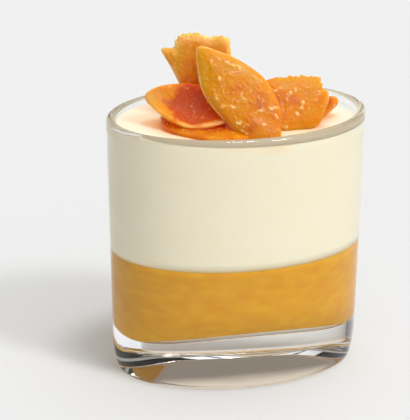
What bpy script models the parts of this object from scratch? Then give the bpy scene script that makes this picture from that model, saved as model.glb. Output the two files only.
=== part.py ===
"""Yogurt mousse in an oval glass: fruit puree, mousse and a topping of orange segments.

Metres, +Z up. The origin is the middle of the glass's foot, +X runs along the long axis of the oval
and the topping faces the -Y side, turned a little towards -X.
"""

import math
from dataclasses import dataclass

import bmesh
import bpy
from mathutils import Euler, Matrix, Vector, noise

MM = 0.001
GAP = 0.3 * MM  # clearance between neighbouring pieces

# Glass
LONG_HALF = 38.0 * MM  # half of the oval's long axis, at the rim
SHORT_HALF = 26.2 * MM  # half of its short axis, at the rim
HEIGHT = 77.3 * MM
TAPER = 1.9 * MM  # how much narrower the foot is than the rim, on each side
WALL = 2.5 * MM
FOOT_HEIGHT = 10.0 * MM  # below this the sides draw in to the foot
FOOT_LEAN = math.radians(15)  # how far the sides lean in where they meet the foot's fillet
FOOT_FILLET = 2.2 * MM
CONTACT_WIDTH = 1.8 * MM  # flat ring that the glass stands on
RECESS_RISE = 0.25 * MM  # height of the flat recess inside the ring
RECESS_SLOPE = 0.5 * MM  # width of the recess's sloping edge
FLOOR_HEIGHT = 15.0 * MM  # in the middle, where the arched floor is highest
FLOOR_FILLET = 9.0 * MM
FLOOR_ARCH = 5.0 * MM  # how much the floor sinks over ARCH_REACH along the long axis
ARCH_REACH = 30.0 * MM
AROUND = 72  # sides of every oval ring
FOOT_STEPS = 5
FILLET_STEPS = 6
LIP_STEPS = 6

# Contents
PUREE_TOP = 37.2 * MM
MOUSSE_TOP = 74.7 * MM  # in the middle
MOUSSE_TILT = -0.03  # rise of the mousse's top per length along +X

# Topping
PILE_TURN = math.radians(-16.3)  # the way the topping faces, about +Z
SEGMENT_AROUND = 32
SEGMENT_RINGS = 12
FULLNESS = 0.75  # below 1 the pieces are flatter in the middle and blunter at the edge
CRAG = 0.7  # height of a torn end's crags, in mm
CRAG_DENSITY = 1.9  # crags to one outline point

WELD = 0.001 * MM
SHARP_ANGLE = math.radians(40)


@dataclass(frozen=True)
class Segment:
    """A torn piece of orange, as a pillow on an outline. Lengths in mm, angles in degrees.

    outline: points (right, up) on the piece's own face, clockwise from its upper left.
    centre: place of the face's middle in the pile's frame (right, away, up from the foot).
    lean, turn: how far the face tips back, and turns to its right.
    front, back: how far the two sides swell from the face's plane.
    thick_side: direction (right, up) in which the back gets thicker, as a segment's outer side is.
    hollow: depth of the dish in the front side. curl: how far the outline bends forward.
    torn: first and last outline point of the ragged end, or None.
    """

    name: str
    colour: tuple
    outline: tuple
    centre: tuple
    lean: float
    front: float
    back: float
    turn: float = 0.0
    thick_side: tuple = (0.0, 0.0)
    hollow: float = 0.0
    curl: float = 0.0
    torn: tuple | None = None
    pressed_by: tuple = ()


SEGMENTS = (
    Segment(
        name="segment_front",
        colour=(0.80, 0.33, 0.03),
        outline=(
            (-11.6, 15.2), (-5.4, 13.9), (0.6, 11.3), (7.4, 6.2), (11.7, -1.5),
            (12.3, -8.0), (11.0, -12.9), (4.1, -13.3), (-2.9, -7.1), (-9.3, 0.6),
            (-11.4, 7.5),
        ),
        centre=(0.3, -12.0, 84.6),
        lean=32.0,
        front=2.6,
        back=5.6,
        thick_side=(0.40, 0.35),
    ),
    Segment(
        name="segment_back",
        colour=(0.76, 0.27, 0.03),
        outline=(
            (-12.2, 8.2), (-8.7, 8.8), (-7.6, 11.7), (-3.2, 12.9), (0.9, 12.0),
            (7.0, 11.4), (7.8, 7.0), (7.9, 0.3), (6.4, -7.0), (2.0, -11.1),
            (-2.9, -10.0), (-6.7, -2.1), (-9.6, 3.5),
        ),
        centre=(-9.6, -0.8, 87.2),
        lean=15.0,
        front=2.8,
        back=5.2,
        thick_side=(0.35, 0.10),
        hollow=1.0,
        torn=(1, 6),
        pressed_by=("segment_front", "segment_left"),
    ),
    Segment(
        name="segment_left",
        colour=(0.72, 0.20, 0.03),
        outline=(
            (-12.8, 2.9), (-9.6, 6.0), (-3.5, 7.3), (4.4, 6.7), (11.1, 3.0),
            (13.4, -1.3), (11.1, -4.7), (5.2, -7.0), (0.0, -7.3), (-5.2, -5.0),
            (-9.6, -1.3),
        ),
        centre=(-13.3, -9.8, 81.0),
        lean=50.0,
        front=2.4,
        back=4.4,
        thick_side=(0.0, 0.3),
        hollow=2.4,
        curl=1.6,
        pressed_by=("segment_front",),
    ),
    Segment(
        name="segment_under",
        colour=(0.74, 0.24, 0.03),
        outline=(
            (-13.2, 7.0), (-8.0, 9.0), (1.0, 6.5), (9.0, 3.0), (11.8, -4.0),
            (11.4, -9.0), (7.4, -10.4), (1.0, -9.8), (-7.4, -6.0), (-12.2, -1.6),
        ),
        centre=(-8.3, -11.6, 76.7),
        lean=86.0,
        front=1.0,
        back=2.4,
        pressed_by=("segment_front", "segment_left", "segment_back"),
    ),
    Segment(
        name="segment_right",
        colour=(0.84, 0.33, 0.03),
        outline=(
            (-10.1, 5.9), (-6.5, 8.0), (-0.6, 8.6), (4.2, 8.3), (8.3, 7.7),
            (9.2, 4.7), (10.7, 2.1), (8.9, -2.4), (6.5, -6.2), (1.5, -7.6),
            (-3.6, -8.6), (-8.3, -7.1), (-10.7, -0.6),
        ),
        centre=(16.1, -3.1, 80.1),
        lean=30.0,
        turn=12.0,
        front=3.0,
        back=6.2,
        thick_side=(-0.2, 0.2),
        torn=(1, 6),
        pressed_by=("segment_front",),
    ),
    Segment(
        name="segment_tip",
        colour=(0.82, 0.31, 0.03),
        outline=(
            (-9.0, 1.5), (-4.0, 3.4), (1.0, 3.0), (4.4, 2.9), (5.0, 1.0),
            (3.2, -0.8), (0.0, -3.0), (-5.0, -3.6), (-8.6, -1.8),
        ),
        centre=(24.4, 4.6, 77.2),
        lean=40.0,
        turn=10.0,
        front=2.6,
        back=3.4,
        pressed_by=("segment_right",),
    ),
)


def clear_scene():
    for old in list(bpy.data.objects):
        bpy.data.objects.remove(old)


def material(name, colour, roughness, alpha=1.0):
    made = bpy.data.materials.new(name)
    made.use_nodes = True
    shader = made.node_tree.nodes["Principled BSDF"]
    shader.inputs["Base Color"].default_value = (*colour, 1.0)
    shader.inputs["Roughness"].default_value = roughness
    shader.inputs["Metallic"].default_value = 0.0
    shader.inputs["Alpha"].default_value = alpha
    return made


def arc(centre, radius, start, end, steps):
    """Points on a circle in the profile's plane, from one angle to another, in degrees."""
    angles = (math.radians(start + (end - start) * i / steps) for i in range(steps + 1))
    return [(centre[0] + radius * math.cos(a), centre[1] + radius * math.sin(a)) for a in angles]


def outer_radius(z):
    """Long half-axis of the glass's outside at a height."""
    return LONG_HALF - TAPER * (1.0 - z / HEIGHT)


def inner_radius(z):
    return outer_radius(z) - WALL


def floor_edge():
    """Long half-axis of the flat of the cavity's floor."""
    return inner_radius(FLOOR_HEIGHT + FLOOR_FILLET) - FLOOR_FILLET


def arched(place):
    """A place in the cavity, sunk where the floor arches down; the arch dies out up the wall."""
    share = 1.0 - (place.z - FLOOR_HEIGHT) / (2.0 * FLOOR_FILLET)
    sunk = FLOOR_ARCH * (place.x / ARCH_REACH) ** 2 * min(max(share, 0.0), 1.0)
    return place - Vector((0.0, 0.0, sunk))


def oval(mesh, flat_from):
    """Turns round rings into ovals: walls keep one thickness, and a floor keeps its edge's shape."""
    difference = LONG_HALF - SHORT_HALF
    for vert in mesh.verts:
        radius = math.hypot(vert.co.x, vert.co.y)
        if radius < outer_radius(vert.co.z) - WALL / 2 and vert.co.z >= FLOOR_HEIGHT - WELD:
            vert.co = arched(vert.co)
        edge = max(radius, flat_from)
        vert.co.y *= (edge - difference) / edge


def turned(name, profile, flat_from, finish):
    """An oval solid from a profile (radius, height) that starts and ends on the axis."""
    mesh = bmesh.new()
    verts = [mesh.verts.new((radius, 0.0, height)) for radius, height in profile]
    edges = [mesh.edges.new(pair) for pair in zip(verts, verts[1:])]
    bmesh.ops.spin(
        mesh, geom=verts + edges, axis=(0, 0, 1), cent=(0, 0, 0),
        angle=math.tau, steps=AROUND, use_merge=True,
    )
    bmesh.ops.remove_doubles(mesh, verts=mesh.verts[:], dist=WELD)
    oval(mesh, flat_from)
    return finished(name, mesh, finish)


def finished(name, mesh, finish):
    """A smooth-shaded object from a bmesh."""
    mesh.normal_update()
    bmesh.ops.recalc_face_normals(mesh, faces=mesh.faces[:])
    data = bpy.data.meshes.new(name)
    mesh.to_mesh(data)
    mesh.free()
    data.shade_smooth()
    data.set_sharp_from_angle(angle=SHARP_ANGLE)
    data.materials.append(finish)
    made = bpy.data.objects.new(name, data)
    bpy.context.scene.collection.objects.link(made)
    return made


def cavity_bottom(gap):
    """The cavity's floor and the fillet up to its wall, drawn in by a gap, from the axis outwards."""
    edge = floor_edge()
    floor = FLOOR_HEIGHT + gap
    flat = [(edge * step / 3, floor) for step in range(3)]
    middle = (edge, FLOOR_HEIGHT + FLOOR_FILLET)
    return [*flat, *arc(middle, FLOOR_FILLET - gap, -90, 0, FILLET_STEPS)]


def foot_side():
    """The foot's fillet and the side that draws in above it, up to the straight wall."""
    meeting = FOOT_FILLET * (1 - math.sin(FOOT_LEAN))
    run = FOOT_HEIGHT - meeting
    draw = run * math.tan(FOOT_LEAN) / 2
    middle = (outer_radius(meeting) - draw - FOOT_FILLET * math.cos(FOOT_LEAN), FOOT_FILLET)
    side = []
    for step in range(1, FOOT_STEPS + 1):
        share = 1 - step / FOOT_STEPS
        height = FOOT_HEIGHT - run * share
        side.append((outer_radius(height) - draw * share**2, height))
    return [*arc(middle, FOOT_FILLET, -90, -math.degrees(FOOT_LEAN), FILLET_STEPS), *side]


def make_glass():
    foot = foot_side()
    contact_in = foot[0][0] - CONTACT_WIDTH
    lip = WALL / 2
    lip_middle = (LONG_HALF - lip, HEIGHT - lip)
    profile = [
        (0.0, RECESS_RISE),
        (contact_in - RECESS_SLOPE, RECESS_RISE),
        (contact_in, 0.0),
        *foot,
        *arc(lip_middle, lip, 0, 180, LIP_STEPS),
        *reversed(cavity_bottom(0.0)),
    ]
    clear = material("clear_glass", (0.93, 0.95, 0.94), 0.04, 0.35)
    return turned("glass", profile, contact_in, clear)


def make_puree():
    top = PUREE_TOP - GAP / 2
    profile = [*cavity_bottom(GAP), (inner_radius(top) - GAP, top), (0.0, top)]
    return turned("fruit_puree", profile, floor_edge(), material("puree", (0.70, 0.30, 0.03), 0.35))


def make_mousse():
    bottom = PUREE_TOP + GAP / 2
    profile = [
        (0.0, bottom),
        (inner_radius(bottom) - GAP, bottom),
        (inner_radius(MOUSSE_TOP) - GAP, MOUSSE_TOP),
        (0.0, MOUSSE_TOP),
    ]
    made = turned("yogurt_mousse", profile, floor_edge(), material("mousse", (0.93, 0.89, 0.74), 0.5))
    for vert in made.data.vertices:
        if vert.co.z > MOUSSE_TOP - WELD:
            vert.co.z += MOUSSE_TILT * vert.co.x
    return made


def along(points, place):
    """A point of the closed smooth curve through the points, at a place from 0 to 1 round it."""
    count = len(points)
    index, part = divmod(place * count, 1.0)
    before, start, end, after = (Vector(points[(int(index) + i) % count]) for i in (-1, 0, 1, 2))
    return 0.5 * (
        2 * start
        + (end - before) * part
        + (2 * before - 5 * start + 4 * end - after) * part**2
        + (3 * start - before - 3 * end + after) * part**3
    )


def tear(segment, place):
    """How far the torn end's crags stand out at a place round the outline, in mm."""
    if segment.torn is None:
        return 0.0
    first, last = segment.torn
    point = place * len(segment.outline)
    if not first <= point <= last:
        return 0.0
    return CRAG * noise.noise(Vector((point * CRAG_DENSITY, segment.lean, segment.turn)))


def pillow(segment, grow=0.0):
    """The segment's closed form, swollen by grow on every side."""
    mesh = bmesh.new()
    bmesh.ops.create_uvsphere(
        mesh, u_segments=SEGMENT_AROUND, v_segments=SEGMENT_RINGS, radius=1.0
    )
    for vert in mesh.verts:
        place = (-math.atan2(vert.co.y, vert.co.x) / math.tau) % 1.0
        edge = along(segment.outline, place)
        spread = math.hypot(vert.co.x, vert.co.y) ** FULLNESS
        reach = edge.length + tear(segment, place) + grow
        across = edge.normalized() * reach * spread
        rise = vert.co.z
        if rise > 0:
            swell = (segment.front + grow) * rise - segment.hollow * (1.0 - spread**2)
        else:
            thicker = 1.0 + edge.normalized().dot(Vector(segment.thick_side)) * spread
            swell = (segment.back * thicker + grow) * rise
        swell += segment.curl * spread**2
        vert.co = Vector((across.x, -swell, across.y)) * MM
    turn = Euler((math.radians(-segment.lean), 0.0, math.radians(segment.turn)), "XYZ").to_matrix()
    pile = Matrix.Rotation(PILE_TURN, 3, "Z")
    for vert in mesh.verts:
        vert.co = pile @ (turn @ vert.co + Vector(segment.centre) * MM)
    return mesh


def level_off(mesh):
    """Cuts the form flat where it lies on the mousse."""
    cut = bmesh.ops.bisect_plane(
        mesh, geom=mesh.verts[:] + mesh.edges[:] + mesh.faces[:], dist=WELD,
        plane_co=(0, 0, MOUSSE_TOP + GAP), plane_no=(-MOUSSE_TILT, 0, 1), clear_inner=True,
    )
    rim = [item for item in cut["geom_cut"] if isinstance(item, bmesh.types.BMEdge)]
    if rim:
        bmesh.ops.holes_fill(mesh, edges=rim, sides=0)


def make_cutter(segment, finish):
    """The segment's form with the clearance added, which presses into its neighbours."""
    cutter = finished(f"{segment.name}_cutter", pillow(segment, GAP / MM), finish)
    cutter.hide_render = True
    cutter.display_type = "WIRE"
    return cutter


def make_topping():
    finishes = {item.name: material(item.name, item.colour, 0.2) for item in SEGMENTS}
    pressers = {other for item in SEGMENTS for other in item.pressed_by}
    cutters = {
        item.name: make_cutter(item, finishes[item.name])
        for item in SEGMENTS
        if item.name in pressers
    }
    for segment in SEGMENTS:
        mesh = pillow(segment)
        level_off(mesh)
        made = finished(segment.name, mesh, finishes[segment.name])
        for other in segment.pressed_by:
            press = made.modifiers.new(f"pressed_by_{other}", "BOOLEAN")
            press.operation = "DIFFERENCE"
            press.solver = "EXACT"
            press.object = cutters[other]


clear_scene()
make_glass()
make_puree()
make_mousse()
make_topping()
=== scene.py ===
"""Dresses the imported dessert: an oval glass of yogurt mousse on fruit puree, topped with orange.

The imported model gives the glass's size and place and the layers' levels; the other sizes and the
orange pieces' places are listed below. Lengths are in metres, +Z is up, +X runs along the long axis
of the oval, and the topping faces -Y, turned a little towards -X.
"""

import logging
import math
from collections.abc import Sequence
from dataclasses import dataclass, field
from enum import Enum

import bmesh
import bpy
from mathutils import Euler, Matrix, Quaternion, Vector, noise
from mathutils.bvhtree import BVHTree


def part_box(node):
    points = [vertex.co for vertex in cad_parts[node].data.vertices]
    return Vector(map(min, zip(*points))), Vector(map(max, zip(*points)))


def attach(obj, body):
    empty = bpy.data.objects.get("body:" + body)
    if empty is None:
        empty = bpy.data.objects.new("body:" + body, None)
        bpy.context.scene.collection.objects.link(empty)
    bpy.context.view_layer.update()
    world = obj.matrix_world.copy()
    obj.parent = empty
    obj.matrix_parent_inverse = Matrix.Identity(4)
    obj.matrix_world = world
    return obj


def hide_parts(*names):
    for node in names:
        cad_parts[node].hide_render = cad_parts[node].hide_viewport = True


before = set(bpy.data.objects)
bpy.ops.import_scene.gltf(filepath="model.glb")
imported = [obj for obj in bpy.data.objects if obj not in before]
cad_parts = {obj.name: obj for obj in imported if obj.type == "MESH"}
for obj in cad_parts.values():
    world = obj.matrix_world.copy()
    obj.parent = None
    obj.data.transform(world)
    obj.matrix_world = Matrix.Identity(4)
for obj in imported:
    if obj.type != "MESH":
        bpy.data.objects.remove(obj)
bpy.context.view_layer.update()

LOG = logging.getLogger("dessert")
MM = 0.001
BODY = "root"
Point = tuple[float, float]
Point3 = tuple[float, float, float]
Colour = tuple[float, float, float, float]
Socket = bpy.types.NodeSocket


def linear(hex_colour: str, alpha: float = 1.0) -> Colour:
    """Turns an sRGB hex colour to linear light.

    Args:
        hex_colour: six hex digits, such as "E08A24".
        alpha: the fourth value of the result.

    Returns:
        Red, green, blue and alpha.
    """
    parts = (int(hex_colour[i : i + 2], 16) / 255 for i in (0, 2, 4))
    red, green, blue = (c / 12.92 if c <= 0.04045 else ((c + 0.055) / 1.055) ** 2.4 for c in parts)
    return (red, green, blue, alpha)


def smooth_step(low: float, high: float, value: float) -> float:
    """Rises smoothly from 0 at low to 1 at high."""
    part = min(max((value - low) / (high - low), 0.0), 1.0)
    return part * part * (3.0 - 2.0 * part)


class Slot(Enum):
    """The part's material slots."""

    GLASS = "clear_glass"
    MOUSSE = "mousse"
    PUREE = "puree"
    FRUIT = "orange_fruit"


# ---------------------------------------------------------------------------------------------
# Finishes
# ---------------------------------------------------------------------------------------------


class Sheet:
    """The node sheet of one material, or of the studio's air."""

    def __init__(self, owner: str | bpy.types.World) -> None:
        """Clears the sheet and adds its output.

        Args:
            owner: a new material's name, or the world.
        """
        named = isinstance(owner, str)
        self.owner = bpy.data.materials.new(owner) if named else owner
        self.owner.use_nodes = True
        self.tree = self.owner.node_tree
        self.tree.nodes.clear()
        self.output = self.add("ShaderNodeOutputMaterial" if named else "ShaderNodeOutputWorld")

    def add(self, kind: str, inputs: dict | None = None, **settings: object) -> bpy.types.Node:
        """Adds a node with its settings, values and links.

        Args:
            kind: the node's type.
            inputs: a value or an output socket for each input, by its name or number.
            settings: the node's own properties.

        Returns:
            The new node.
        """
        node = self.tree.nodes.new(kind)
        for key, value in settings.items():
            setattr(node, key, value)
        for key, value in (inputs or {}).items():
            if isinstance(value, Socket):
                self.tree.links.new(value, node.inputs[key])
            else:
                node.inputs[key].default_value = value
        return node

    def ramp(self, factor: Socket, stops: Sequence[tuple[float, Colour]]) -> Socket:
        """Adds a colour ramp.

        Args:
            factor: what the ramp reads.
            stops: places from 0 to 1, each with its colour.

        Returns:
            The ramp's colour socket.
        """
        node = self.add("ShaderNodeValToRGB", {"Fac": factor})
        elements = node.color_ramp.elements
        while len(elements) < len(stops):
            elements.new(0.5)
        for element, (place, colour) in zip(elements, stops):
            element.position = place
            element.color = colour
        return node.outputs["Color"]

    def lay(self, share: Socket, under: Socket | Colour, over: Socket | Colour) -> Socket:
        """Lays one colour over another.

        Args:
            share: how much of the upper colour shows.
            under: the lower colour.
            over: the upper colour.

        Returns:
            The mixed colour's socket.
        """
        inputs = {0: share, 6: under, 7: over}
        return self.add("ShaderNodeMix", inputs, data_type="RGBA").outputs[2]

    def pattern(self, size_mm: float, detail: float, stretch: Point3 = (1.0, 1.0, 1.0)) -> Socket:
        """Adds a soft noise in the piece's own place.

        Args:
            size_mm: the size of one blotch, in mm.
            detail: how many finer layers it has.
            stretch: how much denser it is along X, Y and Z.

        Returns:
            The noise's value socket.
        """
        place = self.add("ShaderNodeTexCoord").outputs["Object"]
        mapped = self.add("ShaderNodeMapping", {"Vector": place, "Scale": stretch})
        scale = 1.0 / (size_mm * MM)
        inputs = {"Vector": mapped.outputs["Vector"], "Scale": scale, "Detail": detail}
        return self.add("ShaderNodeTexNoise", inputs).outputs["Fac"]

    def bump(self, height: Socket, depth_mm: float, under: Socket | None = None) -> Socket:
        """Adds a bump of a real depth.

        Args:
            height: the relief, from 0 to 1.
            depth_mm: the relief's depth in mm.
            under: the normal of a bump below this one.

        Returns:
            The normal socket.
        """
        inputs = {"Height": height, "Distance": depth_mm * MM, "Strength": 1.0}
        if under is not None:
            inputs["Normal"] = under
        return self.add("ShaderNodeBump", inputs).outputs["Normal"]

    def rise(self, value: Socket, low: float, high: float) -> Socket:
        """Adds a smooth rise from 0 at low to 1 at high, which falls where high is the lower."""
        down = low > high
        inputs = {
            "Value": value,
            "From Min": min(low, high),
            "From Max": max(low, high),
            "To Min": float(down),
            "To Max": float(not down),
        }
        return self.add("ShaderNodeMapRange", inputs, interpolation_type="SMOOTHSTEP").outputs[0]

    def dot(self, way: Socket, other: Vector) -> Socket:
        """Adds the dot product of a direction with a fixed one."""
        inputs = {0: way, 1: tuple(other)}
        return self.add("ShaderNodeVectorMath", inputs, operation="DOT_PRODUCT").outputs["Value"]

    def product(self, first: Socket, second: Socket) -> Socket:
        """Multiplies two values."""
        return self.add("ShaderNodeMath", {0: first, 1: second}, operation="MULTIPLY").outputs[0]

    def scaled(self, value: Socket, factor: float, base: Socket | float = 0.0) -> Socket:
        """Multiplies a value by a factor and adds a base."""
        inputs = {0: value, 1: factor, 2: base}
        return self.add("ShaderNodeMath", inputs, operation="MULTIPLY_ADD").outputs[0]

    def shade(self, shader: bpy.types.Node) -> bpy.types.Material | bpy.types.World:
        """Sends a shader to the output and gives the finished owner of the sheet."""
        self.tree.links.new(shader.outputs[0], self.output.inputs["Surface"])
        return self.owner


@dataclass(frozen=True)
class ClearGlass:
    """Soda-lime glass, pressed and fire-polished: smooth, faintly wavy, no tint to speak of."""

    tint: str = "FFFFFE"
    shadow_tint: str = "F2F3F0"
    ior: float = 1.5
    roughness: float = 0.0
    wave_mm: float = 14.0
    wave_depth_mm: float = 0.05

    def material(self) -> bpy.types.Material:
        """Makes the glass, which lets light through to what it holds without bending it."""
        sheet = Sheet("clear_pressed_glass")
        waves = sheet.bump(sheet.pattern(self.wave_mm, 1.0), self.wave_depth_mm)
        glass = sheet.add(
            "ShaderNodeBsdfPrincipled",
            {
                "Base Color": linear(self.tint),
                "Roughness": self.roughness,
                "IOR": self.ior,
                "Transmission Weight": 1.0,
                "Normal": waves,
            },
        )
        clear = sheet.add("ShaderNodeBsdfTransparent", {"Color": linear(self.shadow_tint)})
        ray = sheet.add("ShaderNodeLightPath")
        for kind in ("Is Shadow Ray", "Is Diffuse Ray"):
            inputs = {0: ray.outputs[kind], 1: glass.outputs[0], 2: clear.outputs[0]}
            glass = sheet.add("ShaderNodeMixShader", inputs)
        return sheet.shade(glass)


@dataclass(frozen=True)
class SetMousse:
    """Whipped yogurt set with gelatine: matt cream white, light soaks in a few millimetres."""

    name: str = "set_yogurt_mousse"
    cream: str = "FCEFD9"
    warm: str = "FAEACD"
    seep: str = "F3CE8E"
    # syrup: the warm colour near the fruit, partly a syrup stain and partly painted warm shade.
    syrup: str = "F3C985"
    roughness: float = 0.5
    ior: float = 1.4
    shine: float = 0.15
    soak: float = 0.6
    soak_mm: float = 0.7
    pore_mm: float = 0.5
    pore_depth_mm: float = 0.05
    bottom: float = 0.0
    seep_mm: float = 1.4
    ripple_mm: float = 0.5

    def material(self) -> bpy.types.Material:
        """Makes the mousse, stained by the puree below it, and warmer near the fruit: partly a syrup
        stain, partly painted warm shade and glow from the fruit.
        """
        sheet = Sheet(self.name)
        clouds = sheet.pattern(9.0, 3.0)
        body = sheet.lay(clouds, linear(self.cream), linear(self.warm))
        place = sheet.add("ShaderNodeTexCoord").outputs["Object"]
        height = sheet.add("ShaderNodeSeparateXYZ", {"Vector": place}).outputs["Z"]
        shifted = sheet.scaled(sheet.pattern(6.0, 2.0), self.ripple_mm * MM, height)
        seep = sheet.rise(shifted, self.bottom + self.seep_mm * MM, self.bottom)
        colour = sheet.lay(seep, body, linear(self.seep))
        # The layer "syrup" warms the mousse near the fruit: partly a stain, partly painted warm
        # shade.
        syrup_and_shade = sheet.add("ShaderNodeAttribute", attribute_name="syrup").outputs["Fac"]
        colour = sheet.lay(syrup_and_shade, colour, linear(self.syrup))
        pores = sheet.bump(sheet.pattern(self.pore_mm, 2.0), self.pore_depth_mm)
        mousse = sheet.add(
            "ShaderNodeBsdfPrincipled",
            {
                "Base Color": colour,
                "Roughness": self.roughness,
                "IOR": self.ior,
                "Specular IOR Level": self.shine,
                "Subsurface Weight": self.soak,
                "Subsurface Radius": (1.0, 1.0, 1.0),
                "Subsurface Scale": self.soak_mm * MM,
                "Normal": pores,
            },
        )
        return sheet.shade(mousse)


@dataclass(frozen=True)
class FruitPuree:
    """Sieved orange fruit, set: even, dense and glossy, with faint streaks of pulp."""

    body: str = "DFA008"
    streak: str = "E8AB18"
    deep: str = "DE9807"
    roughness: float = 0.5
    ior: float = 1.38
    shine: float = 0.05
    soak: float = 0.7
    soak_mm: float = 1.2

    def material(self) -> bpy.types.Material:
        """Makes the puree."""
        sheet = Sheet("orange_fruit_puree")
        pulp = sheet.pattern(5.0, 4.0, (1.0, 1.0, 2.2))
        stops = ((0.3, linear(self.deep)), (0.5, linear(self.body)), (0.75, linear(self.streak)))
        colour = sheet.ramp(pulp, stops)
        grain = sheet.bump(sheet.pattern(0.7, 2.0), 0.04)
        puree = sheet.add(
            "ShaderNodeBsdfPrincipled",
            {
                "Base Color": colour,
                "Roughness": self.roughness,
                "IOR": self.ior,
                "Specular IOR Level": self.shine,
                "Subsurface Weight": self.soak,
                "Subsurface Radius": (1.0, 0.45, 0.12),
                "Subsurface Scale": self.soak_mm * MM,
                "Normal": grain,
            },
        )
        return sheet.shade(puree)


@dataclass(frozen=True)
class PoachedOrange:
    """Peeled orange poached in syrup: wet, see-through flesh of juice sacs in a thin pale skin."""

    flesh: str = "DB8608"
    # tan is the paler colour of thin edges and lit sides, painted glow; deep is painted shade where
    # the pieces lie thick or covered; pale is the skin's colour and painted highlights.
    tan: str = "D0941C"
    pale: str = "F3CC80"
    deep: str = "BE4A12"
    glow: str = "EBC088"
    roughness: float = 0.35
    ior: float = 1.36
    syrup_cover: float = 0.75
    syrup_ior: float = 1.37
    syrup_roughness: float = 0.04
    soak_mm: float = 4.5
    blotch: float = 0.7
    blotch_mm: float = 5.0
    bead_mm: float = 2.0
    bead_depth_mm: float = 0.7
    pulp_mm: float = 0.8
    glint_specks: float = 0.35
    glint_speck_mm: float = 1.1

    def material(self) -> bpy.types.Material:
        """Makes the flesh; the mesh says where it is a thin skin, where it lies deep and where
        painted glow, painted shade and painted highlights go.
        """
        sheet = Sheet("poached_orange")
        skin = sheet.add("ShaderNodeAttribute", attribute_name="skin").outputs["Fac"]
        depth = sheet.add("ShaderNodeAttribute", attribute_name="depth").outputs["Fac"]
        tone = sheet.scaled(sheet.pattern(self.blotch_mm, 2.0), self.blotch, depth)
        middle = self.blotch / 2
        # The tone runs from tan to flesh to deep: random blotches of the flesh's own tone, with
        # painted glow at thin edges and painted shade where the flesh lies deep or covered.
        tones = (
            (middle, linear(self.tan)),
            (middle + 0.35, linear(self.flesh)),
            (middle + 0.95, linear(self.deep)),
        )
        body = sheet.ramp(tone, tones)
        # The layer "skin" lays on the pale colour: the skin's own colour, painted glow of thin edges
        # and painted highlights along the shreds.
        body = sheet.lay(skin, body, linear(self.pale))
        # Scattered pale specks: painted highlights standing in for the flesh's glints.
        glint_specks = sheet.scaled(sheet.rise(sheet.pattern(self.glint_speck_mm, 1.0), 0.64, 0.74), self.glint_specks)
        body = sheet.lay(glint_specks, body, linear(self.pale))
        pulp = sheet.bump(sheet.pattern(self.pulp_mm, 2.0), 0.05)
        film = sheet.bump(sheet.pattern(self.bead_mm, 1.0), self.bead_depth_mm, pulp)
        flesh = sheet.add(
            "ShaderNodeBsdfPrincipled",
            {
                "Base Color": body,
                "Roughness": self.roughness,
                "IOR": self.ior,
                "Subsurface Weight": 1.0,
                "Specular IOR Level": 0.0,
                "Subsurface Radius": (1.0, 0.38, 0.05),
                "Subsurface Scale": self.soak_mm * MM,
                "Coat Weight": self.syrup_cover,
                "Coat IOR": self.syrup_ior,
                "Coat Roughness": self.syrup_roughness,
                "Coat Normal": film,
                "Normal": pulp,
            },
        )
        clear = sheet.add("ShaderNodeBsdfTransparent", {"Color": linear(self.glow)})
        shadow = sheet.add("ShaderNodeLightPath").outputs["Is Shadow Ray"]
        inputs = {0: shadow, 1: flesh.outputs[0], 2: clear.outputs[0]}
        return sheet.shade(sheet.add("ShaderNodeMixShader", inputs))


@dataclass(frozen=True)
class StudioPaint:
    """Matt pale paint of a studio floor."""

    colour: str = "DDDFE1"
    mottle: str = "DCDEE0"

    def material(self) -> bpy.types.Material:
        """Makes the paint, with the faint mottling of a roller."""
        sheet = Sheet("studio_paint")
        colour = sheet.lay(sheet.pattern(40.0, 2.0), linear(self.colour), linear(self.mottle))
        paint = sheet.add("ShaderNodeBsdfPrincipled", {"Base Color": colour, "Roughness": 0.8})
        return sheet.shade(paint)


# ---------------------------------------------------------------------------------------------
# Modelling helpers
# ---------------------------------------------------------------------------------------------


def arc(middle: Point, radius: float, start: float, end: float, steps: int) -> list[Point]:
    """Lists points on an arc in a profile's plane.

    Args:
        middle: its middle (radius, height).
        radius: its own radius.
        start: the first point's angle, in degrees.
        end: the last point's angle.
        steps: how many stretches lie between them.

    Returns:
        The points (radius, height).
    """
    angles = (math.radians(start + (end - start) * i / steps) for i in range(steps + 1))
    return [(middle[0] + radius * math.cos(a), middle[1] + radius * math.sin(a)) for a in angles]


def straight(start: Point, end: Point, steps: int) -> list[Point]:
    """Lists points between two points of a profile, without the ends."""
    first, last = Vector(start), Vector(end)
    return [tuple(first.lerp(last, i / steps)) for i in range(1, steps)]


def piece(
    name: str, mesh: bmesh.types.BMesh, finish: bpy.types.Material, node: str
) -> bpy.types.Object:
    """Makes a smooth-shaded piece of the object from a bmesh.

    Args:
        name: the piece's name.
        mesh: its shape, which is used up.
        finish: its material.
        node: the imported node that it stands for.

    Returns:
        The new object, riding on the body.
    """
    mesh.normal_update()
    bmesh.ops.recalc_face_normals(mesh, faces=mesh.faces[:])
    data = bpy.data.meshes.new(name)
    mesh.to_mesh(data)
    mesh.free()
    data.shade_smooth()
    data.materials.append(finish)
    made = bpy.data.objects.new(name, data)
    bpy.context.scene.collection.objects.link(made)
    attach(made, BODY)
    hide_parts(node)
    LOG.info("%s: %d faces", name, len(data.polygons))
    return made


# ---------------------------------------------------------------------------------------------
# Glass and what fills it
# ---------------------------------------------------------------------------------------------


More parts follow.
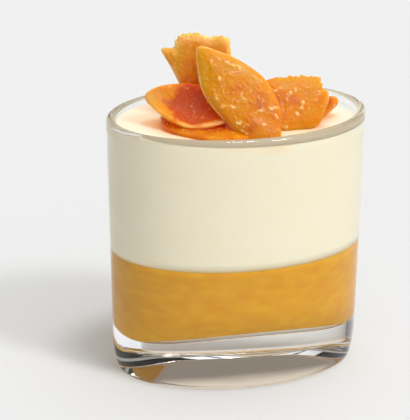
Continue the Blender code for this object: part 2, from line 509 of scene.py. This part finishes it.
@dataclass
class Tumbler:
    """The oval glass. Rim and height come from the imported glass."""

    wall: float = 2.5 * MM
    taper: float = 1.9 * MM
    foot_height: float = 10.0 * MM
    foot_lean: float = 15.0
    foot_fillet: float = 2.2 * MM
    contact_width: float = 1.8 * MM
    recess_rise: float = 0.25 * MM
    recess_slope: float = 0.5 * MM
    lip_height: float = 3.4 * MM
    lip_ridge: Point = (0.1 * MM, 0.5 * MM)
    floor_height: float = 15.0 * MM
    floor_fillet: float = 9.0 * MM
    floor_arch: float = 5.0 * MM
    arch_reach: float = 30.0 * MM
    around: int = 192

    def __post_init__(self) -> None:
        """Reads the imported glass's size."""
        low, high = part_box("glass")
        self.long_half = (high.x - low.x) / 2
        self.short_half = (high.y - low.y) / 2
        self.height = high.z - low.z

    def outer(self, z: float) -> float:
        """Gives the long half-axis of the outside at a height."""
        return self.long_half - self.taper * (1.0 - z / self.height)

    def inner(self, z: float) -> float:
        """Gives the long half-axis of the cavity at a height."""
        return self.outer(z) - self.wall

    def floor_edge(self) -> float:
        """Gives the long half-axis of the cavity's flat floor."""
        return self.inner(self.floor_height + self.floor_fillet) - self.floor_fillet

    def cavity_floor(self, reach: float) -> list[Point]:
        """Lists the floor and its fillet, from the axis outwards.

        Args:
            reach: how far the line goes into the glass.

        Returns:
            Profile points (radius, height).
        """
        edge = self.floor_edge()
        level = self.floor_height - reach
        middle = (edge, self.floor_height + self.floor_fillet)
        flat = [(edge * step / 8, level) for step in range(8)]
        return [*flat, *arc(middle, self.floor_fillet + reach, -90, 0, 16)]

    def arched(self, place: Vector) -> Vector:
        """Sinks a place in the cavity where the floor arches down towards the oval's ends.

        Args:
            place: a point on or near the cavity's surface.

        Returns:
            The sunk point; the arch dies out up the wall.
        """
        share = 1.0 - (place.z - self.floor_height) / (2.0 * self.floor_fillet)
        sunk = self.floor_arch * (place.x / self.arch_reach) ** 2 * min(max(share, 0.0), 1.0)
        return place - Vector((0.0, 0.0, sunk))

    def turned(self, profile: Sequence[Point], flat_from: float) -> bmesh.types.BMesh:
        """Spins a profile round the axis and presses it oval, with walls of one thickness.

        Args:
            profile: points (radius, height) that start and end on the axis.
            flat_from: the radius inside which the oval keeps its proportions.

        Returns:
            The closed form.
        """
        mesh = bmesh.new()
        verts = [mesh.verts.new((radius, 0.0, height)) for radius, height in profile]
        edges = [mesh.edges.new(pair) for pair in zip(verts, verts[1:])]
        bmesh.ops.spin(
            mesh, geom=verts + edges, axis=(0, 0, 1), cent=(0, 0, 0),
            angle=math.tau, steps=self.around, use_merge=True,
        )
        bmesh.ops.remove_doubles(mesh, verts=mesh.verts[:], dist=0.001 * MM)
        self.press_oval(mesh, flat_from)
        return mesh

    def press_oval(self, mesh: bmesh.types.BMesh, flat_from: float) -> None:
        """Presses a round form oval and arches the cavity's floor.

        Args:
            mesh: the form, which is changed.
            flat_from: the radius inside which the oval keeps its proportions.
        """
        difference = self.long_half - self.short_half
        for vert in mesh.verts:
            radius = math.hypot(vert.co.x, vert.co.y)
            inside = radius < self.outer(vert.co.z) - self.wall / 2
            if inside and vert.co.z > self.floor_height - self.wall:
                vert.co = self.arched(vert.co)
            edge = max(radius, flat_from)
            vert.co.y *= (edge - difference) / edge

    def foot_side(self) -> list[Point]:
        """Lists the foot's fillet and the side that draws in above it, up to the straight wall.

        Returns:
            Profile points (radius, height).
        """
        lean = math.radians(self.foot_lean)
        meeting = self.foot_fillet * (1.0 - math.sin(lean))
        run = self.foot_height - meeting
        draw = run * math.tan(lean) / 2
        middle = self.outer(meeting) - draw - self.foot_fillet * math.cos(lean)
        fillet = arc((middle, self.foot_fillet), self.foot_fillet, -90, -self.foot_lean, 12)
        shares = [1.0 - step / 16 for step in range(1, 17)]
        heights = [self.foot_height - run * share for share in shares]
        sides = [(self.outer(z) - draw * share**2, z) for share, z in zip(shares, heights)]
        return [*fillet, *sides]

    def ridge(self) -> list[Point]:
        """Lists the faint ridge round the outside where the fire-polished lip ends."""
        rise, width = self.lip_ridge
        middle = self.height - self.lip_height
        shares = [step / 6 - 0.5 for step in range(7)]
        heights = [middle + width * share for share in shares]
        rises = [rise * math.cos(math.pi * share) ** 2 for share in shares]
        return [(self.outer(z) + out, z) for z, out in zip(heights, rises)]

    def build(self) -> bpy.types.Object:
        """Makes the glass.

        Returns:
            The glass piece.
        """
        foot = self.foot_side()
        contact_in = foot[0][0] - self.contact_width
        recess_edge = (contact_in - self.recess_slope, self.recess_rise)
        lip = self.wall / 2
        lip_middle = (self.long_half - lip, self.height - lip)
        rim = arc(lip_middle, lip, 0, 180, 14)
        ridge = self.ridge()
        floor = list(reversed(self.cavity_floor(0.0)))
        profile = [
            (0.0, self.recess_rise),
            *straight((0.0, self.recess_rise), recess_edge, 4),
            recess_edge,
            (contact_in, 0.0),
            *foot,
            *straight(foot[-1], ridge[0], 10),
            *ridge,
            *rim,
            *straight(rim[-1], floor[0], 10),
            *floor,
        ]
        finish = ClearGlass().material()
        return piece("tumbler", self.turned(profile, contact_in), finish, "glass")


@dataclass
class PaintedShadeSmear:
    """The thin film of mousse left on the wall between its top and the lip, on the front, in a
    darker cream: painted shade of the lip and the fruit.
    """

    tumbler: Tumbler
    level: float
    tilt: float
    thick: float = 0.14 * MM
    reach: float = 0.05 * MM
    lip_angle: float = 150.0
    clip: float = -6.0 * MM

    def build(self) -> bpy.types.Object:
        """Makes the film.

        Returns:
            The film piece.
        """
        glass = self.tumbler
        lip = glass.wall / 2
        middle = (glass.long_half - lip, glass.height - lip)
        low = (glass.inner(self.level), self.level)
        outside = [low, *arc(middle, lip, 180, self.lip_angle, 6)]
        outline = [(radius + self.reach, height) for radius, height in outside]
        outline += [(radius - self.thick, height) for radius, height in reversed(outside)]
        mesh = bmesh.new()
        verts = [mesh.verts.new((radius, 0.0, height)) for radius, height in outline]
        edges = [mesh.edges.new(pair) for pair in zip(verts, verts[1:] + verts[:1])]
        bmesh.ops.spin(
            mesh, geom=verts + edges, axis=(0, 0, 1), cent=(0, 0, 0),
            angle=math.tau, steps=glass.around, use_merge=True,
        )
        glass.press_oval(mesh, 0.0)
        for vert in mesh.verts:
            if vert.co.z < self.level + 0.01 * MM:
                vert.co.z += self.tilt * vert.co.x
        cut = bmesh.ops.bisect_plane(
            mesh, geom=mesh.verts[:] + mesh.edges[:] + mesh.faces[:], dist=0.001 * MM,
            plane_co=(0, self.clip, 0), plane_no=(0, 1, 0), clear_outer=True,
        )
        rims = [item for item in cut["geom_cut"] if isinstance(item, bmesh.types.BMEdge)]
        bmesh.ops.holes_fill(mesh, edges=rims, sides=0)
        # The film's cream is darker than the mousse's: painted shade.
        finish = SetMousse(name="mousse_film_painted_shade", cream="CFC3AA", warm="CABEA3").material()
        return piece("mousse_smear_painted_shade", mesh, finish, "yogurt_mousse")


@dataclass
class Filling:
    """The two layers in the glass, each reaching just into its wall so that no air gap shows."""

    tumbler: Tumbler
    reach: float = 0.06 * MM
    overlap: float = 0.05 * MM
    shoulder: float = 0.7 * MM
    swell: float = 0.25 * MM
    tilt: float = -0.03
    syrup_and_shade_reach: float = 4.5 * MM
    syrup_and_shade_share: float = 0.55

    def __post_init__(self) -> None:
        """Reads the layers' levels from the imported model."""
        gap = (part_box("yogurt_mousse")[0].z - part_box("fruit_puree")[1].z) / 2
        self.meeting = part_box("fruit_puree")[1].z + gap
        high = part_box("yogurt_mousse")[1]
        self.top = high.z + self.tilt * high.x

    def puree(self) -> bpy.types.Object:
        """Makes the fruit puree.

        Returns:
            The puree piece.
        """
        level = self.meeting
        wall = self.tumbler.inner(level) + self.reach
        floor = self.tumbler.cavity_floor(self.reach)
        profile = [
            *floor,
            *straight(floor[-1], (wall, level), 6),
            (wall, level),
            *straight((wall, level), (0.0, level), 4),
            (0.0, level),
        ]
        mesh = self.tumbler.turned(profile, self.tumbler.floor_edge())
        return piece("puree_layer", mesh, FruitPuree().material(), "fruit_puree")

    def mousse(self, fruit: Sequence[BVHTree]) -> bpy.types.Object:
        """Makes the mousse, rounded off at the glass and warmer near the fruit: partly a syrup
        stain, partly painted warm shade from the fruit.

        Args:
            fruit: the surfaces of the orange pieces.

        Returns:
            The mousse piece.
        """
        bottom = self.meeting - self.overlap
        low = (self.tumbler.inner(bottom) + self.reach, bottom)
        wall = self.tumbler.inner(self.top) + self.reach
        shoulder_middle = (wall - self.shoulder, self.top - self.shoulder)
        surface = arc(shoulder_middle, self.shoulder, 0, 90, 6)
        steps = 40
        for i in range(steps - 1, -1, -1):
            part = i / steps
            swell = self.swell * (1.0 - part**2)
            surface.append((shoulder_middle[0] * part, self.top + swell))
        profile = [
            (0.0, bottom),
            *straight((0.0, bottom), low, 4),
            low,
            *straight(low, surface[0], 16),
            *surface,
        ]
        mesh = self.tumbler.turned(profile, self.tumbler.floor_edge())
        # The layer "syrup" rises near the fruit: partly a syrup stain, partly painted warm shade.
        syrup = mesh.verts.layers.float.new("syrup")
        for vert in mesh.verts:
            if vert.co.z < self.top - self.shoulder:
                continue
            if math.hypot(vert.co.x, vert.co.y) < wall * 0.97:
                vert.co.z += 0.12 * MM * noise.noise(vert.co / (7 * MM))
            vert.co.z += self.tilt * vert.co.x
            found = (tree.find_nearest(vert.co, self.syrup_and_shade_reach)[3] for tree in fruit)
            nearest = min((away for away in found if away is not None), default=self.syrup_and_shade_reach)
            vert[syrup] = self.syrup_and_shade_share * smooth_step(self.syrup_and_shade_reach, 0.0, nearest)
        finish = SetMousse(bottom=self.meeting).material()
        return piece("mousse_layer", mesh, finish, "yogurt_mousse")


# ---------------------------------------------------------------------------------------------
# Fruit
# ---------------------------------------------------------------------------------------------


@dataclass
class Segment:
    """A torn piece of orange: a pillow on an outline. Lengths in mm, angles in degrees.

    outline: points (right, up) on the piece's own face, clockwise from its upper left.
    centre: the face's middle in the pile's frame (right, away, up from the foot).
    lean, turn: how far the face tips back, and turns to its right.
    front, back: how far the two sides swell from the face's plane.
    grain: the way the juice sacs run on the face, from its right.
    thick_side: direction in which the back gets thicker, as a segment's outer side is.
    hollow: depth of the dish in the front side. curl: how far the outline bends forward.
    torn: first and last outline point of the ragged end, or None.
    glint_strands: raised shreds of skin on the front, each as (right, up, right, up) of its ends;
    they are coloured pale as painted highlights.
    wave, bead: the rise and size of the flesh's slow waves, and of the syrup's beads on it.
    ripe_and_shade: how deep its colour is in the middle, from 0 to 1: partly the flesh's own tone,
    partly painted shade.
    ripe_and_shade_edge: how that changes toward the edge, where a paler colour is painted glow of
    light through thin flesh.
    ripe_and_shade_way: how it changes along (right, up), painted light and shade across the piece.
    shaded: how much painted shade its neighbours lay on its colour, from 0 to 1.
    membrane_and_glow: how much of the pale skin is left on its edge, most on the side pale_side; the
    pale edge also stands in for light shining through the thin flesh, as painted glow.
    membrane_width: how far it reaches inwards, from 0 to 1.
    """

    name: str
    outline: tuple[Point, ...]
    centre: Point3
    lean: float
    front: float
    back: float
    grain: float = 30.0
    turn: float = 0.0
    thick_side: Point = (0.0, 0.0)
    hollow: float = 0.0
    curl: float = 0.0
    torn: tuple[int, int] | None = None
    glint_strands: tuple[tuple[float, float, float, float], ...] = ()
    ripe_and_shade: float = 0.4
    ripe_and_shade_edge: float = -0.1
    ripe_and_shade_way: Point = (0.0, 0.0)
    shaded: float = 0.25
    membrane_and_glow: float = 0.4
    membrane_width: float = 0.1
    pale_side: Point = (0.0, 1.0)
    fullness: float = 0.75
    sac_length: float = 4.2
    sac_width: float = 1.5
    sac_relief: float = 0.09
    strand_rise: float = 0.36
    strand_width: float = 0.34
    strand_bend: float = 0.7
    wave_rise: float = 0.4
    wave_size: float = 4.5
    bead_rise: float = 0.2
    bead_size: float = 1.0
    detail: int = 7

    def along(self, place: float) -> Vector:
        """Gives a point of the closed smooth curve through the outline, at a place from 0 to 1."""
        count = len(self.outline)
        index, part = divmod(place * count, 1.0)
        before, start, end, after = (
            Vector(self.outline[(int(index) + i) % count]) for i in (-1, 0, 1, 2)
        )
        return 0.5 * (
            2 * start
            + (end - before) * part
            + (2 * before - 5 * start + 4 * end - after) * part**2
            + (3 * start - before - 3 * end + after) * part**3
        )

    def tear(self, place: float, rise: float) -> float:
        """Gives how far the torn end's crags stand out, in mm."""
        if self.torn is None:
            return 0.0
        first, last = self.torn
        point = place * len(self.outline)
        if not first <= point <= last:
            return 0.0
        crag = 0.7 * noise.noise(Vector((point * 1.9, self.lean, self.turn)))
        fade = smooth_step(first, first + 0.5, point) * smooth_step(last, last - 0.5, point)
        return crag + fade * 0.6 * noise.noise(Vector((point * 5.5, rise * 3.5, self.lean)))

    def sacs(self, across: Vector, rise: float) -> float:
        """Gives the relief of the juice sacs under the skin, in mm."""
        turned = Matrix.Rotation(math.radians(-self.grain), 2) @ across
        long, wide = turned.x / self.sac_length, turned.y / self.sac_width
        near, second = noise.voronoi(Vector((long, wide, rise * 0.8 + self.lean)))[0][:2]
        patchy = 0.5 + noise.noise(Vector((across.x, across.y, self.lean)) / 6.0)
        return self.sac_relief * patchy * (smooth_step(0.0, 0.35, second - near) - 0.5)

    def strand(self, across: Vector) -> float:
        """Gives the height of the shreds of skin on the front, in mm."""
        height = 0.0
        spot = Vector((across.x, across.y, self.lean))
        bend = Vector((noise.noise(spot), noise.noise(spot + Vector((0.0, 0.0, 20.5)))))
        bent = across + self.strand_bend * bend
        broken = min(max(0.75 + 1.6 * noise.noise(spot * 0.9), 0.0), 1.0)
        for x0, y0, x1, y1 in self.glint_strands:
            start, run = Vector((x0, y0)), Vector((x1 - x0, y1 - y0))
            part = min(max((bent - start).dot(run) / run.length_squared, 0.0), 1.0)
            away = (bent - start - run * part).length / self.strand_width
            height = max(height, self.strand_rise * broken * math.exp(-away * away))
        return height

    def form(self) -> bmesh.types.BMesh:
        """Shapes a ball to the piece's form on its own face, in mm, with its relief.

        Returns:
            The closed form; its verts carry the layers "skin", "depth" and "shaded".
        """
        mesh = bmesh.new()
        bmesh.ops.create_icosphere(mesh, subdivisions=self.detail, radius=1.0)
        skin = mesh.verts.layers.float.new("skin")
        depth = mesh.verts.layers.float.new("depth")
        shaded = mesh.verts.layers.float.new("shaded")
        for vert in mesh.verts:
            place = (-math.atan2(vert.co.y, vert.co.x) / math.tau) % 1.0
            edge = self.along(place)
            way = edge.normalized()
            ball = math.hypot(vert.co.x, vert.co.y)
            spread = ball**self.fullness
            rise = vert.co.z
            ragged = self.tear(place, rise) * smooth_step(0.7, 1.0, spread)
            across = way * (edge.length * spread + ragged)
            if rise > 0:
                swell = self.front * rise - self.hollow * (1.0 - spread**2)
                swell += self.strand(across) * min(rise * 3.0, 1.0)
            else:
                swell = self.back * (1.0 + way.dot(Vector(self.thick_side)) * spread) * rise
            swell += self.curl * spread**2
            sacs = self.sacs(across, rise)
            spot = Vector((across.x, across.y, rise * 3))
            wave = self.wave_rise * noise.noise(spot / self.wave_size)
            bead = noise.noise((spot + Vector((0, 0, self.lean))) / self.bead_size)
            bead = self.bead_rise * smooth_step(0.05, 0.4, bead)
            swell += (sacs + wave + bead) * rise
            across += way * sacs * ball * 0.6
            patchy = 0.7 + 0.9 * noise.noise(Vector((across.x, across.y, self.lean)) / 3.0)
            # The pale rim is the skin left on the edge and partly painted glow of light through the
            # thin edge.
            rim = smooth_step(1.0 - self.membrane_width, 1.0, ball) * smooth_step(-0.5, 0.0, rise)
            rim *= smooth_step(-0.6, 0.6, way.dot(Vector(self.pale_side)))
            # Along the shreds the flesh is coloured pale: painted highlights.
            painted_glint = self.strand(across) / self.strand_rise if rise > 0 else 0.0
            vert[skin] = max(self.membrane_and_glow * min(max(patchy, 0.0), 1.0) * rim, 0.95 * painted_glint)
            # Paler at the edge, deeper in the middle and along one way: painted glow of light
            # through thin flesh and painted shade.
            uneven = 0.25 * noise.noise(Vector((across.x, across.y, self.lean)) / 4.0)
            margin = smooth_step(0.35, 0.95, spread + uneven)
            ripe_and_shade = self.ripe_and_shade + self.ripe_and_shade_edge * margin + way.dot(Vector(self.ripe_and_shade_way)) * spread
            vert[depth] = min(max(ripe_and_shade, 0.0), 1.0)
            vert[shaded] = self.shaded * (1.0 + max(self.ripe_and_shade_edge, -0.8) * margin)
            vert.co = Vector((across.x, -swell, across.y))
        return mesh

    def place(self, mesh: bmesh.types.BMesh, turn: float) -> None:
        """Sets the form in its place on the mousse.

        Args:
            mesh: the form in mm, which is moved.
            turn: the way the pile faces, about +Z.
        """
        tip = (math.radians(-self.lean), 0.0, math.radians(self.turn))
        facing = Euler(tip, "XYZ").to_matrix().to_4x4()
        pile = Matrix.Rotation(turn, 4, "Z")
        middle = Matrix.Translation(Vector(self.centre) * MM)
        matrix = pile @ middle @ facing @ Matrix.Scale(MM, 4)
        bmesh.ops.transform(mesh, matrix=matrix, verts=mesh.verts[:])


@dataclass
class Topping:
    """The pile of orange pieces on the mousse."""

    turn: float = math.radians(-16.3)
    shade_reach: float = 8.0 * MM
    trees: list[BVHTree] = field(default_factory=list, init=False)

    def segments(self) -> list[Segment]:
        """Lists the pieces, front first."""
        return [
            Segment(
                name="segment_front",
                outline=(
                    (-11.6, 15.2), (-5.4, 13.9), (0.6, 11.3), (7.4, 6.2), (11.7, -1.5),
                    (12.3, -8.0), (11.0, -12.9), (4.1, -13.3), (-2.9, -7.1), (-9.3, 0.6),
                    (-11.4, 7.5),
                ),
                centre=(0.3, -12.0, 84.6),
                lean=32.0,
                front=2.6,
                back=5.6,
                grain=25.0,
                ripe_and_shade=0.3,
                ripe_and_shade_way=(0.15, -0.1),
                shaded=0.1,
                membrane_and_glow=1.0,
                pale_side=(-1.0, -0.2),
                thick_side=(0.40, 0.35),
                glint_strands=(
                    (5.9, -3.9, 10.8, -2.4), (-3.6, 10.3, 1.3, 8.5), (4.5, 6.2, 6.5, 5.0),
                    (1.0, -8.8, 2.6, -10.2), (-2.4, -2.0, -1.2, -2.9), (10.6, -4.6, 11.6, -5.6),
                    (-6.4, 0.2, -5.8, -0.5), (-4.5, -2.3, -3.7, -2.7), (1.0, 1.0, 1.5, -0.3),
                    (5.7, 0.3, 6.2, -0.8), (-8.1, 11.1, -7.6, 10.4), (-5.4, 5.9, -5.1, 4.9),
                    (7.0, -7.9, 8.3, -7.5), (9.9, 3.4, 10.8, 2.4), (-0.3, -7.0, 0.7, -7.3),
                ),
            ),
            Segment(
                name="segment_back",
                outline=(
                    (-12.2, 8.2), (-8.7, 8.8), (-7.6, 11.7), (-3.2, 12.9), (0.9, 12.0),
                    (7.0, 11.4), (7.8, 7.0), (7.9, 0.3), (6.4, -7.0), (2.0, -11.1),
                    (-2.9, -10.0), (-6.7, -2.1), (-9.6, 3.5),
                ),
                centre=(-9.6, -0.8, 87.2),
                lean=15.0,
                front=2.8,
                back=5.2,
                grain=80.0,
                thick_side=(0.35, 0.10),
                hollow=1.0,
                ripe_and_shade=0.32,
                ripe_and_shade_way=(0.15, -0.35),
                shaded=0.25,
                membrane_and_glow=0.8,
                membrane_width=0.35,
                pale_side=(-0.6, 0.8),
                torn=(1, 6),
            ),
            Segment(
                name="segment_left",
                outline=(
                    (-12.8, 2.9), (-9.6, 6.0), (-3.5, 7.3), (4.4, 6.7), (11.1, 3.0),
                    (13.4, -1.3), (11.1, -4.7), (5.2, -7.0), (0.0, -7.3), (-5.2, -5.0),
                    (-9.6, -1.3),
                ),
                centre=(-13.3, -9.8, 81.0),
                lean=50.0,
                front=2.4,
                back=4.4,
                grain=100.0,
                ripe_and_shade=0.85,
                ripe_and_shade_edge=-0.6,
                ripe_and_shade_way=(0.2, 0.1),
                shaded=0.65,
                membrane_and_glow=0.55,
                membrane_width=0.3,
                pale_side=(0.0, -1.0),
                thick_side=(0.0, 0.3),
                hollow=2.4,
                curl=1.6,
            ),
            Segment(
                name="segment_under",
                outline=(
                    (-13.2, 7.0), (-8.0, 9.0), (1.0, 6.5), (9.0, 3.0), (11.8, -4.0),
                    (11.4, -9.0), (7.4, -10.4), (1.0, -9.8), (-7.4, -6.0), (-12.2, -1.6),
                ),
                centre=(-8.3, -11.6, 76.7),
                lean=86.0,
                front=1.0,
                back=2.4,
                grain=60.0,
                ripe_and_shade=0.42,
                ripe_and_shade_way=(-0.05, 0.0),
                shaded=0.35,
            ),
            Segment(
                name="segment_right",
                outline=(
                    (-10.1, 5.9), (-6.5, 8.0), (-0.6, 8.6), (4.2, 8.3), (8.3, 7.7),
                    (9.2, 4.7), (10.7, 2.1), (8.9, -2.4), (6.5, -6.2), (1.5, -7.6),
                    (-3.6, -8.6), (-8.3, -7.1), (-10.7, -0.6),
                ),
                centre=(16.1, -3.1, 80.1),
                lean=30.0,
                turn=12.0,
                front=3.0,
                back=6.2,
                grain=50.0,
                thick_side=(-0.2, 0.2),
                ripe_and_shade=0.35,
                torn=(1, 6),
                glint_strands=(
                    (-1.2, 2.7, 0.9, 4.6), (1.6, -1.6, 2.2, 0.5), (-3.7, -6.2, -3.1, -6.8),
                    (-2.4, 1.3, -1.8, 2.1), (-0.2, -2.4, 0.3, -3.2), (-5.5, 4.0, -4.6, 4.6),
                ),
            ),
            Segment(
                name="segment_tip",
                outline=(
                    (-9.0, 1.5), (-4.0, 3.4), (1.0, 3.0), (4.4, 2.9), (5.0, 1.0),
                    (3.2, -0.8), (0.0, -3.0), (-5.0, -3.6), (-8.6, -1.8),
                ),
                centre=(24.4, 4.6, 77.2),
                lean=40.0,
                turn=10.0,
                front=2.6,
                back=3.4,
                grain=20.0,
                detail=6,
            ),
        ]

    def redden(self, forms: Sequence[bmesh.types.BMesh]) -> None:
        """Deepens the layer "depth" near the other pieces: painted shade, the red of light that
        reaches a piece only through its neighbours.

        Args:
            forms: the placed forms of the pieces.
        """
        for form in forms:
            depth, shaded = (form.verts.layers.float[name] for name in ("depth", "shaded"))
            others = [tree for tree, other in zip(self.trees, forms) if other is not form]
            for vert in form.verts:
                found = (tree.find_nearest(vert.co, self.shade_reach)[3] for tree in others)
                nearest = min((away for away in found if away is not None), default=self.shade_reach)
                near = vert[shaded] * smooth_step(self.shade_reach, 0.0, nearest)
                vert[depth] += near * (1.0 - vert[depth])

    def build(self) -> list[bpy.types.Object]:
        """Makes the pieces of orange.

        Returns:
            The pieces, front first.
        """
        segments = self.segments()
        forms = [segment.form() for segment in segments]
        for segment, form in zip(segments, forms):
            segment.place(form, self.turn)
        self.trees = [BVHTree.FromBMesh(form) for form in forms]
        self.redden(forms)
        finish = PoachedOrange().material()
        made = []
        for segment, form in zip(segments, forms):
            name = segment.name.replace("segment", "orange")
            made.append(piece(name, form, finish, segment.name))
        return made


# ---------------------------------------------------------------------------------------------
# Studio
# ---------------------------------------------------------------------------------------------


@dataclass(frozen=True)
class SilkLamp:
    """A lamp behind silk: its place and spread in degrees, its strength in watts a square metre."""

    azimuth: float
    elevation: float
    strength: float
    spread: float


@dataclass
class Studio:
    """Pale floor, soft light and the camera."""

    floor_side: float = 14.0
    azimuth: float = -16.3
    elevation: float = 21.2
    distance: float = 0.808
    lens: float = 237.6
    shift: Point = (-0.0722, 0.0636)
    roll: float = 0.68
    lamps: tuple[SilkLamp, ...] = (
        SilkLamp(azimuth=38.0, elevation=45.0, strength=0.95, spread=11.0),
        SilkLamp(azimuth=30.0, elevation=74.0, strength=0.9, spread=12.0),
    )
    sky_all: float = 0.02
    sky_side: float = 1.0
    sky_top: float = 1.1
    sky_back: float = 0.24
    sky_low_back: float = 0.55
    sky_high_back: float = 0.7
    sky_way: float = 12.0
    sky_bright: str = "F8FBFF"
    sky_dim: str = "F2E3CF"

    @staticmethod
    def way(azimuth: float, elevation: float) -> Vector:
        """Gives the direction from the object at an azimuth and elevation, in degrees."""
        a, e = math.radians(azimuth), math.radians(elevation)
        return Vector((math.sin(a) * math.cos(e), -math.cos(a) * math.cos(e), math.sin(e)))

    def floor(self) -> bpy.types.Object:
        """Makes the floor."""
        mesh = bmesh.new()
        bmesh.ops.create_grid(mesh, x_segments=8, y_segments=8, size=self.floor_side / 2)
        data = bpy.data.meshes.new("floor")
        mesh.to_mesh(data)
        mesh.free()
        data.materials.append(StudioPaint().material())
        made = bpy.data.objects.new("floor", data)
        bpy.context.scene.collection.objects.link(made)
        return made

    def light(self) -> None:
        """Makes the lamps and the soft light all round."""
        for lamp in self.lamps:
            data = bpy.data.lights.new("silk_lamp", "SUN")
            data.energy = lamp.strength
            data.angle = math.radians(lamp.spread)
            made = bpy.data.objects.new("silk_lamp", data)
            made.rotation_mode = "QUATERNION"
            back = self.way(lamp.azimuth, lamp.elevation)
            made.rotation_quaternion = back.to_track_quat("Z", "Y")
            bpy.context.scene.collection.objects.link(made)
        self.air()

    def air(self) -> None:
        """Makes the soft light all round: bright overhead and to the right, dim behind."""
        world = bpy.data.worlds.new("studio_air")
        bpy.context.scene.world = world
        sheet = Sheet(world)
        way = sheet.add("ShaderNodeTexCoord").outputs["Generated"]
        height = sheet.add("ShaderNodeSeparateXYZ", {"Vector": way}).outputs["Z"]
        side = sheet.dot(way, self.way(self.sky_way, 0.0))
        behind = sheet.dot(way, -self.way(self.azimuth, 0.0))
        bright = sheet.rise(side, -0.8, 0.4)
        colour = sheet.lay(bright, linear(self.sky_dim), linear(self.sky_bright))
        lit = sheet.scaled(sheet.rise(side, 0.05, 0.9), self.sky_side, self.sky_all)
        overhead = sheet.product(sheet.rise(height, 0.6, 0.98), sheet.rise(side, -0.85, 0.1))
        lit = sheet.scaled(overhead, self.sky_top, lit)
        lit = sheet.scaled(sheet.rise(behind, 0.1, 0.5), self.sky_back, lit)
        low_back = sheet.product(sheet.rise(behind, 0.1, 0.5), sheet.rise(height, 0.43, 0.32))
        lit = sheet.scaled(low_back, self.sky_low_back, lit)
        high_back = sheet.product(sheet.rise(behind, 0.0, 0.4), sheet.rise(height, 0.62, 0.75))
        lit = sheet.scaled(high_back, self.sky_high_back, lit)
        inputs = {"Color": colour, "Strength": lit}
        sheet.shade(sheet.add("ShaderNodeBackground", inputs))

    def camera(self) -> None:
        """Makes the camera."""
        data = bpy.data.cameras.new("camera")
        data.lens = self.lens
        data.shift_x, data.shift_y = self.shift
        data.clip_start, data.clip_end = 0.05, 60.0
        made = bpy.data.objects.new("camera", data)
        made.rotation_mode = "QUATERNION"
        back = self.way(self.azimuth, self.elevation)
        low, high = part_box("glass")
        made.location = (low + high) / 2 + back * self.distance
        roll = Quaternion((0, 0, 1), math.radians(self.roll))
        made.rotation_quaternion = (-back).to_track_quat("-Z", "Y") @ roll
        bpy.context.scene.collection.objects.link(made)
        bpy.context.scene.camera = made

    def build(self) -> None:
        """Sets up the studio."""
        self.floor()
        self.light()
        self.camera()
        settings = bpy.context.scene.view_settings
        settings.view_transform = "Standard"
        settings.look = "None"


def main() -> None:
    """Builds the dessert."""
    logging.basicConfig(level=logging.INFO, format="%(name)s: %(message)s")
    tumbler = Tumbler()
    tumbler.build()
    filling = Filling(tumbler)
    filling.puree()
    topping = Topping()
    topping.build()
    filling.mousse(topping.trees)
    PaintedShadeSmear(tumbler, filling.top, filling.tilt).build()
    Studio().build()


if __name__ == "__main__":
    main()
